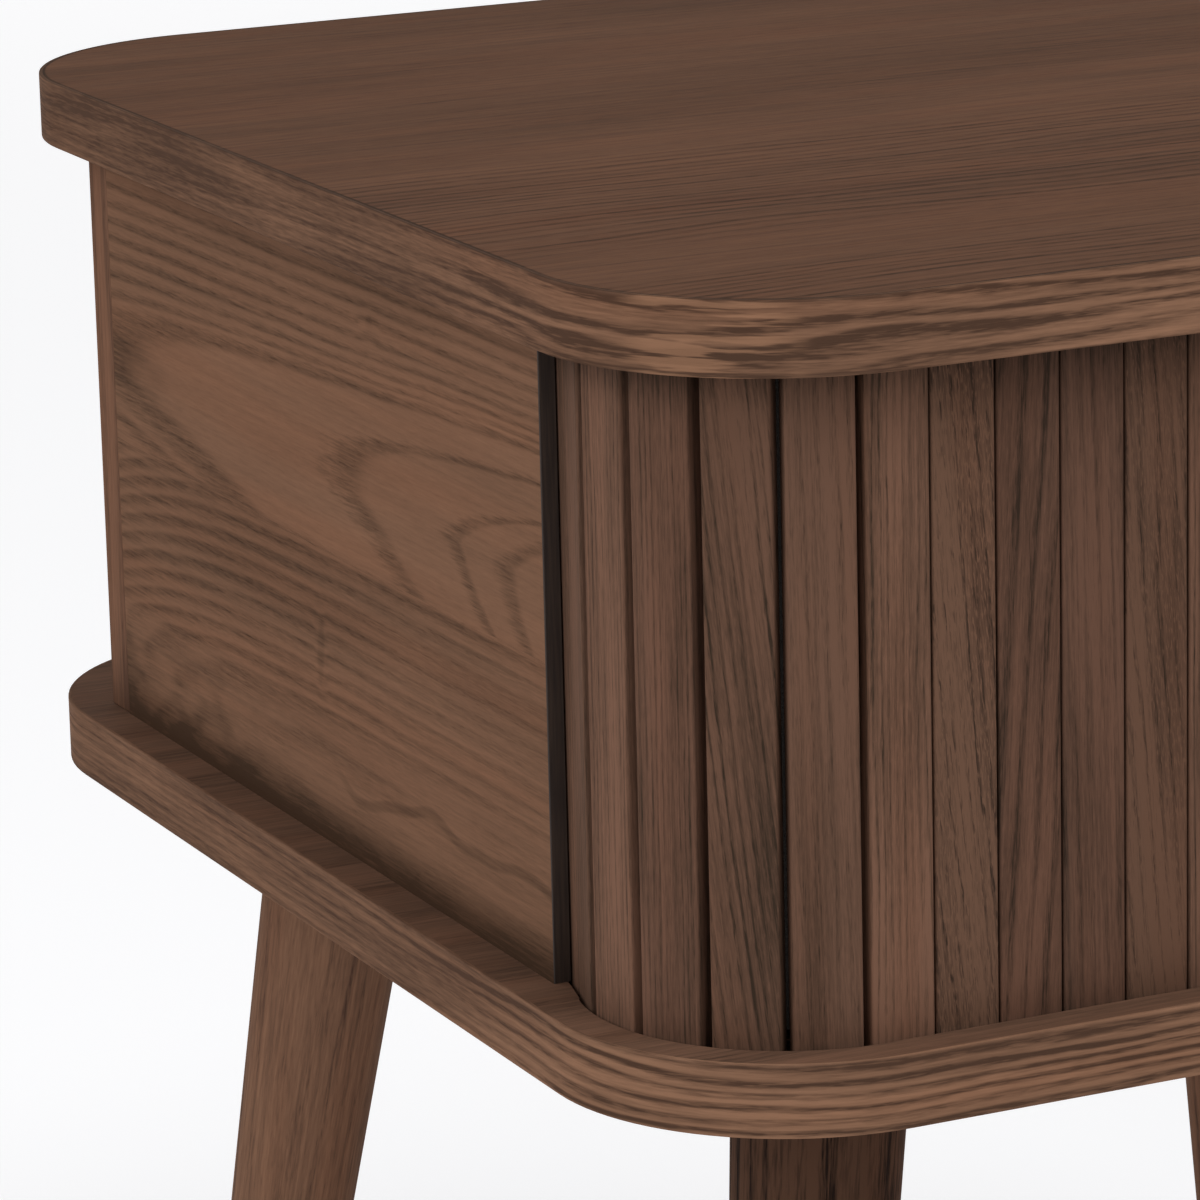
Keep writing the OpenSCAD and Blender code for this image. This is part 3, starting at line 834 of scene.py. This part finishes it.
for side, seed in (("left", 80.0), ("right", 84.0)):
    low, high = corners(side + "_lead_stile")
    if side == "right":
        low.x, high.x = -high.x, -low.x
    sign = 1 if side == "left" else -1
    floor_z = corners("bottom_board")[1].z
    ceiling_z = corners("top_board")[0].z
    depth = high.y - low.y
    foot, head = floor_z + STILE_CLEAR, ceiling_z - STILE_CLEAR
    levels = [(low.z, slat_t, False), (foot, slat_t, False), (foot, depth, True)]
    levels += [(head, depth, True), (head, slat_t, False), (high.z, slat_t, False)]
    rings = []
    for z, thick, cove in levels:
        ring = stile_ring(low, high, thick, cove, z)
        rings.append([Vector((sign * p.x, p.y, p.z)) for p in ring][::sign])
    stile = loft(side + "_stile_coved", rings)
    shape = bmesh.new()
    shape.from_mesh(stile.data)
    bmesh.ops.dissolve_degenerate(shape, dist=TOUCHING, edges=shape.edges[:])
    shape.to_mesh(stile.data)
    shape.free()
    stile.data.materials.append(walnut(
        side + "_stile_walnut", upright, straight_rings(4.5, 12.0), "7d5c48", "4a362b", seed,
        bands=0.5, fibres=0.5, clouds=0.35, pores=0.35,
    ))
    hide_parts(side + "_lead_stile")
    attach(stile, side + "_door_front")

# ---- Canvas -----------------------------------------------------------------------------
# A strong dark canvas is glued across the backs of the slats and is the doors' only hinge.
# It lies flat behind each slat and turns in the narrow strip between two of them.

CANVAS_T = 0.0006


def cloth_line(first, last, depth):
    """The canvas seen from above, so deep behind the backs of these slats."""
    points = []
    for step in range(first, last + 1):
        middle, turn = on_track(step)
        along = Vector((math.cos(turn), math.sin(turn), 0))
        inward = Vector((-math.sin(turn), math.cos(turn), 0))
        for share in (0.5, 0.25, 0.0, -0.25, -0.5):
            points.append(middle + along * (share * slat_w) + inward * depth)
    return points


def canvas_finish(name):
    """Plain-woven cotton canvas, dyed nearly black."""
    finish, shader, own = new_finish(name)
    x, y, z = own.parts()
    thread = 2 * math.pi / 0.7
    weft = (z * thread).maths("SINE")
    warp = ((x + y) * thread).maths("SINE")
    weave = weft * warp * 0.5 + 0.5
    slub = own.noise((0.4, 0.4, 2.2), 2.0)
    colour = (weave * 0.6 + slub * 0.4).blend(paint("171412"), paint("39322d"))
    height = weave + slub * 0.4
    bump = height.node("Bump", None, {"Height": height, "Distance": 0.00015, "Strength": 0.8})
    tree = colour.tree
    tree.links.new(colour.socket, shader.inputs["Base Color"])
    tree.links.new(bump.socket, shader.inputs["Normal"])
    shader.inputs["Roughness"].default_value = 0.9
    return finish


canvas_dye = canvas_finish("door_canvas")
for side in ("left", "right"):
    sign = 1 if side == "left" else -1
    for part, first, last in (
        ("front", -7, -1), ("entry", 0, 0), ("corner", 1, CORNER_SLATS - 1),
        ("tail", CORNER_SLATS, CORNER_SLATS + BEND_SLATS - 1),
    ):
        node = side + "_" + part + "_canvas"
        low, high = corners(node)
        near = cloth_line(first, last, 0.0)
        far = cloth_line(first, last, CANVAS_T)
        plan = [Vector((sign * p.x, p.y, 0)) for p in near + far[::-1]][::sign]
        rings = [[p + Vector((0, 0, z)) for p in plan] for z in (high.z, low.z)]
        cloth = loft(node + "_woven", rings)
        cloth.data.materials.append(canvas_dye)
        width = sum((b - a).length for a, b in zip(near, near[1:]))
        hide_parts(node)
        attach(cloth, side + "_door_" + part)

# ---- Legs -------------------------------------------------------------------------------
# The legs are turned from solid walnut with a straight taper, and are sawn level at both
# ends so that they stand splayed. Their feet are lightly chamfered against splitting.

LEG_TOP_D = 0.0445
LEG_FOOT_D = 0.0235
LEG_INSET = (0.077, 0.0755)
LEG_SPLAY = (0.0414, 0.0397)
LEG_SIDES = 64
FOOT_EASE = 0.0007

leg_h = corners("bottom_board")[0].z


def leg_axis(across, back):
    """Top of a leg's axis, and the unit vector down it."""
    top = Vector((across * (rim_high.x - LEG_INSET[0]), back * (rim_high.y - LEG_INSET[1]), leg_h))
    down = Vector((across * LEG_SPLAY[0], back * LEG_SPLAY[1], -leg_h))
    return top, down.normalized()


def leg_ring(top, down, z, inset=0.0):
    """Where the taper's lines meet the level at z, drawn in a little for a chamfer."""
    side = down.cross(Vector((0, 1, 0))).normalized()
    front = side.cross(down).normalized()
    length = leg_h / -down.z
    taper = (LEG_TOP_D - LEG_FOOT_D) / 2 / length
    points = []
    for index in range(LEG_SIDES):
        angle = index / LEG_SIDES * 2 * math.pi
        out = math.cos(angle) * side + math.sin(angle) * front
        start = top + out * (LEG_TOP_D / 2 - inset)
        line = down - out * taper
        points.append(start + line * ((z - start.z) / line.z))
    return points


def leg_grain(down):
    """Turns the piece's coordinates so that the grain runs down one leg."""
    turn = down.to_track_quat("X", "Z").to_matrix().inverted().to_euler("XYZ")

    def grain(own):
        inputs = {"Vector": own, "Rotation": tuple(turn)}
        return own.node("Mapping", {"vector_type": "POINT"}, inputs)

    return grain


LEGS = (
    # leg, its side and end of the table, seed, light and dark colour, strength of the rings
    # the front left leg's darker colours and stronger rings are painted shade from the board above it
    ("front_left_leg", -1, -1, 30.0, "594032", "261c17", 0.9),
    ("front_right_leg", 1, -1, 33.0, "876450", "4f3b30", 0.5),
    ("rear_left_leg", -1, 1, 36.0, "85634e", "503b31", 0.5),
    ("rear_right_leg", 1, 1, 39.0, "7a5946", "4a372d", 0.5),
)
for node, across, back, seed, light, dark, bands in LEGS:
    low, high = corners(node)
    top, down = leg_axis(across, back)
    rings = [leg_ring(top, down, high.z)]
    rings += [leg_ring(top, down, low.z + FOOT_EASE * (1 - math.sin(a)), FOOT_EASE * (1 - math.cos(a)))
              for a in quarter_turn(EASE_STEPS)]
    leg = loft(node + "_turned", rings)
    leg.data.flip_normals()
    leg.data.materials.append(walnut(
        node + "_walnut", leg_grain(down), straight_rings(5.5, 18.0, 0.35), light, dark, seed,
        bands=bands, fibres=bands + 0.05, clouds=0.45, pores=0.4,
    ))
    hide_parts(node)
    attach(leg, "case")

# ---- Feet and leg fittings --------------------------------------------------------------
# A nylon glide is nailed under each foot. Above it the leg's hanger bolt is threaded into a
# pressed and zinc-plated plate, which four pan-head screws hold to the bottom board.

GLIDE_D = 0.018
GLIDE_H = 0.0025
GLIDE_EASE = 0.0004
GLIDE_RIM = ((-0.0012, 0.0), (-0.0004, 0.0003), (0.0, 0.0010))
NAIL_D = 0.003
NAIL_L = 0.012
SCREW_D = 0.004
HEAD_D = 0.0075
HEAD_H = 0.0022
RIM_SHARE = 0.35
DOME_STEPS = 5
SCREW_L = 0.014
SCREW_TIP_L = 0.003
HEAD_FLAT_R = 0.0006
PLATE_T = 0.0025
PLATE_GAP = 0.050
RECESS_W = 0.0009
RECESS_L = 0.0044
RECESS_H = 0.0012


def turned(name, profile, sides=40):
    """A piece turned about an upright axis through the origin, from (radius, height) pairs."""
    rings = []
    for r, z in profile:
        rings.append([Vector((r * math.cos(a), r * math.sin(a), z))
                      for a in (i / sides * 2 * math.pi for i in range(sides))])
    return loft(name, rings)


def cross_ring(scale, z):
    """Outline of a screw's cross recess at one height, drawn in as it gets deeper."""
    reach, thin = RECESS_L / 2 * scale, RECESS_W / 2 * scale
    points = []
    for quarter in range(4):
        turn = Matrix.Rotation(quarter * math.pi / 2, 3, "Z")
        points += [turn @ Vector((x, y, z)) for x, y in ((reach, -thin), (reach, thin), (thin, thin))]
    return points


def moulded(name, code, grit, roughness):
    """Moulded nylon: a plain dark plastic with a faint mottle and rubbed high spots."""
    finish, shader, own = new_finish(name)
    speck = own.noise((grit, grit, grit), 3.0)
    colour = speck.ramp(0.3, 0.7).blend(paint(code), paint(toned(code, 1.35)))
    bump = speck.node("Bump", None, {"Height": speck, "Distance": 0.0001, "Strength": 0.5})
    rough = speck * 0.2 + roughness
    tree = colour.tree
    tree.links.new(colour.socket, shader.inputs["Base Color"])
    tree.links.new(rough.socket, shader.inputs["Roughness"])
    tree.links.new(bump.socket, shader.inputs["Normal"])
    return finish


def plated(name, code="b4b6b8"):
    """Zinc plate on steel: a dull grey bloom, with fine rolling marks."""
    finish, shader, own = new_finish(name)
    bloom = own.noise((0.12, 0.12, 0.12), 4.0)
    marks = own.noise((0.3, 6.0, 3.0), 2.0)
    colour = bloom.ramp(0.3, 0.75).blend(paint(code), paint(toned(code, 0.78)))
    rough = bloom * 0.25 + 0.25 + (marks - 0.5) * 0.15
    bump = marks.node("Bump", None, {"Height": marks, "Distance": 0.00003, "Strength": 0.5})
    tree = colour.tree
    tree.links.new(colour.socket, shader.inputs["Base Color"])
    tree.links.new(rough.socket, shader.inputs["Roughness"])
    tree.links.new(bump.socket, shader.inputs["Normal"])
    shader.inputs["Metallic"].default_value = 1.0
    return finish


def many(name, template, places):
    """One piece that holds a copy of the template at each place."""
    shape = bmesh.new()
    for place in places:
        copy = template.data.copy()
        copy.transform(Matrix.Translation(place))
        shape.from_mesh(copy)
        bpy.data.meshes.remove(copy)
    mesh = bpy.data.meshes.new(name)
    shape.to_mesh(mesh)
    shape.free()
    bpy.data.objects.remove(template)
    return place_mesh(name, mesh, 25)


feet = []
for across, back in ((-1, -1), (1, -1), (-1, 1), (1, 1)):
    top, down = leg_axis(across, back)
    foot = top + down * (leg_h / -down.z)
    feet.append(Vector((foot.x, foot.y, 0.0)))
glide = turned("glide", [(GLIDE_D / 2 + out, z) for out, z in GLIDE_RIM] + [
    (GLIDE_D / 2, GLIDE_H - GLIDE_EASE), (GLIDE_D / 2 - GLIDE_EASE, GLIDE_H),
    (NAIL_D / 2, GLIDE_H), (NAIL_D / 2, GLIDE_H + NAIL_L),
])
glides = many("foot_glides_moulded", glide, feet)
glides.data.materials.append(moulded("glide_nylon", "1d1b1a", 0.8, 0.45))
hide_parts("foot_glides")
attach(glides, "case")

head_z = -PLATE_T - HEAD_H
tip_z = SCREW_L - PLATE_T
dome = [(HEAD_D / 2 * math.cos(a), -PLATE_T - HEAD_H * (RIM_SHARE + (1 - RIM_SHARE) * math.sin(a)))
        for a in quarter_turn(DOME_STEPS)[:-1]]
screw = turned("screw", [
    (SCREW_D / 2 * 0.6, tip_z), (SCREW_D / 2, tip_z - SCREW_TIP_L), (SCREW_D / 2, -PLATE_T),
    (HEAD_D / 2, -PLATE_T),
] + dome + [(HEAD_FLAT_R, head_z)], sides=32)
screw.data.flip_normals()
recess = loft("recess", [cross_ring(1.2, head_z - RECESS_H / 2), cross_ring(0.7, head_z + RECESS_H)])
cut_away(screw, recess)
places = []
for across, back in ((-1, -1), (1, -1), (-1, 1), (1, 1)):
    top, down = leg_axis(across, back)
    for x in (-1, 1):
        for y in (-1, 1):
            places.append(top + Vector((x, y, 0)) * (PLATE_GAP / 2))
screws = many("plate_screws_recessed", screw, places)
steel = plated("zinc_plate")
screws.data.materials.append(steel)
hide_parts("plate_screws")
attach(screws, "case")
for node in ("leg_plates", "hanger_bolts", "cam_bolts"):
    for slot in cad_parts[node].material_slots:
        slot.material = steel

# ---- Case fittings ----------------------------------------------------------------------
# Beech dowels line the walls up with both boards, and cast cam fittings in the inner walls
# draw the top board down. They are out of sight once the case is together.

die_cast = plated("cam_casting", "9c9d9c")
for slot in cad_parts["cam_housings"].material_slots:
    slot.material = die_cast
beech = walnut("dowel_beech", upright, straight_rings(3.0, 4.0), "c9a57c", "a27d54", 60.0,
               bands=0.4, fibres=0.5, clouds=0.3, pores=0.5)
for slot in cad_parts["dowels"].material_slots:
    slot.material = beech

# ---- Floor, light and view --------------------------------------------------------------
# A plain pale floor under a wide soft light. The table is seen from before its left front
# corner and a little above its top, through a long lens.

EYE = Vector((-0.77815, -1.38266, 0.78614))
VIEW_AZIMUTH = 25.04
VIEW_PITCH = -14.298
VIEW_ROLL = -1.418
LENS = 180.39

FLOOR_REACH = 8.0
FLOOR_TONE = (0.86, 0.86, 0.87, 1)
DOME_TONE = (0.41, 0.41, 0.415, 1)

# how much the floor is lifted towards white for the eye, near the table and far away
LIFT_NEAR = 0.22
LIFT_FAR = 0.7
LIFT_REACH = (0.5, 6.0)

LIGHTS = (
    # light, where its panel stands, its power in watts
    ("left_panel", (-2.4, -0.9, 1.7), 23.0),
    ("back_panel", (-1.8, 1.6, 2.4), 14.0),
    ("front_panel", (0.5, -1.6, 3.2), 55.0),
)
LIGHT_SIZE = 1.8
LIT_POINT = (0, 0, 0.35)

floor_mesh = bpy.data.meshes.new("floor")
floor_corners = [(x * FLOOR_REACH, y * FLOOR_REACH, 0) for x, y in ((-1, -1), (1, -1), (1, 1), (-1, 1))]
floor_mesh.from_pydata(floor_corners, [], [(0, 1, 2, 3)])
floor = bpy.data.objects.new("floor", floor_mesh)
bpy.context.scene.collection.objects.link(floor)


def looked_at_in(tree):
    """1 for what the eye sees, straight, mirrored or through glass, 0 for light that bounces."""
    rays = Wire(tree).node("LightPath").socket.node.outputs
    straight, mirrored, through = (
        Wire(tree, rays["Is " + kind + " Ray"]) for kind in ("Camera", "Glossy", "Transmission"))
    return straight.at_least(mirrored).at_least(through)


pale = bpy.data.materials.new("pale_floor")
pale.use_nodes = True
tree = pale.node_tree
paper = tree.nodes["Principled BSDF"]
paper.inputs["Base Color"].default_value = FLOOR_TONE
paper.inputs["Roughness"].default_value = 0.9
paper.inputs["Specular IOR Level"].default_value = 0.1
spot = Wire(tree).node("TexCoord", output=3)
away = spot.node("VectorMath", {"operation": "LENGTH"}, {0: spot}, 1)
lift = looked_at_in(tree) * (away.share(*LIFT_REACH) * (LIFT_FAR - LIFT_NEAR) + LIFT_NEAR)
tree.links.new(lift.blend(paint("000000"), paint("ffffff")).socket, paper.inputs["Emission Color"])
paper.inputs["Emission Strength"].default_value = 1.0
floor.data.materials.append(pale)

room = bpy.data.worlds.new("room")
room.use_nodes = True
bpy.context.scene.world = room
tree = room.node_tree
background = tree.nodes["Background"]
glow = looked_at_in(tree).blend(DOME_TONE, paint("ffffff"))
tree.links.new(glow.socket, background.inputs["Color"])

for name, place, power in LIGHTS:
    lamp = bpy.data.lights.new(name, "AREA")
    lamp.shape = "RECTANGLE"
    lamp.size = LIGHT_SIZE
    lamp.size_y = LIGHT_SIZE
    lamp.energy = power
    holder = bpy.data.objects.new(name, lamp)
    holder.location = place
    holder.rotation_euler = (Vector(LIT_POINT) - Vector(place)).to_track_quat("-Z", "Y").to_euler()
    bpy.context.scene.collection.objects.link(holder)

camera_data = bpy.data.cameras.new("view")
camera_data.lens = LENS
camera_data.sensor_width = 36.0
camera = bpy.data.objects.new("view", camera_data)
camera.matrix_world = (
    Matrix.Translation(EYE)
    @ Matrix.Rotation(math.radians(-VIEW_AZIMUTH), 4, "Z")
    @ Matrix.Rotation(math.radians(90 + VIEW_PITCH), 4, "X")
    @ Matrix.Rotation(math.radians(VIEW_ROLL), 4, "Z")
)
bpy.context.scene.collection.objects.link(camera)
bpy.context.scene.camera = camera
bpy.context.scene.view_settings.view_transform = "Standard"
